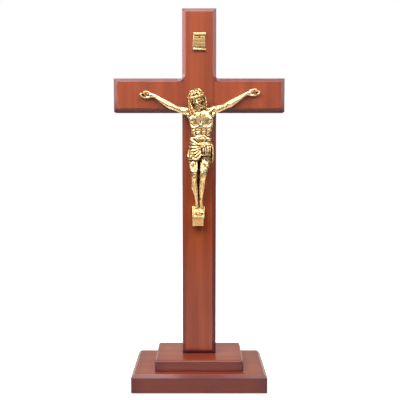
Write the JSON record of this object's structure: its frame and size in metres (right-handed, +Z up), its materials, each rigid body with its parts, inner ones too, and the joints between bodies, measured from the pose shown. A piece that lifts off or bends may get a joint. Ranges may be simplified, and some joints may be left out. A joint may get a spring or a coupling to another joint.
{
  "type": "standing crucifix",
  "caption": "Free-standing table crucifix: a bevelled red-brown wooden cross on a stepped base, with a cast antique-brass figure on a footrest and a small blank scroll above it.",
  "frame": {"origin": "on the table, under the middle of the base", "axes": "+Z up, +X to the right as seen from the front, +Y to the back; the figure faces -Y"},
  "size_m": [0.1372, 0.0604, 0.305],
  "materials": {
    "red_wood": "semi-gloss lacquer",
    "dowel_wood": "raw",
    "antique_brass": "antique gold with dark patina in the hollows",
    "screw_steel": "zinc plated",
    "felt": "felt"
  },
  "bodies": {
    "root": {"arm_dowels": "dowel_wood", "corpus": "antique_brass", "felt_pads": "felt", "foot_nails": "antique_brass", "footrest": "antique_brass", "hand_nails": "antique_brass", "left_arm": "red_wood", "lower_plinth": "red_wood", "plinth_screws": "screw_steel", "right_arm": "red_wood", "scroll": "antique_brass", "scroll_pins": "antique_brass", "upper_plinth": "red_wood", "upright": "red_wood", "upright_screws": "screw_steel"}
  },
  "joints": []
}
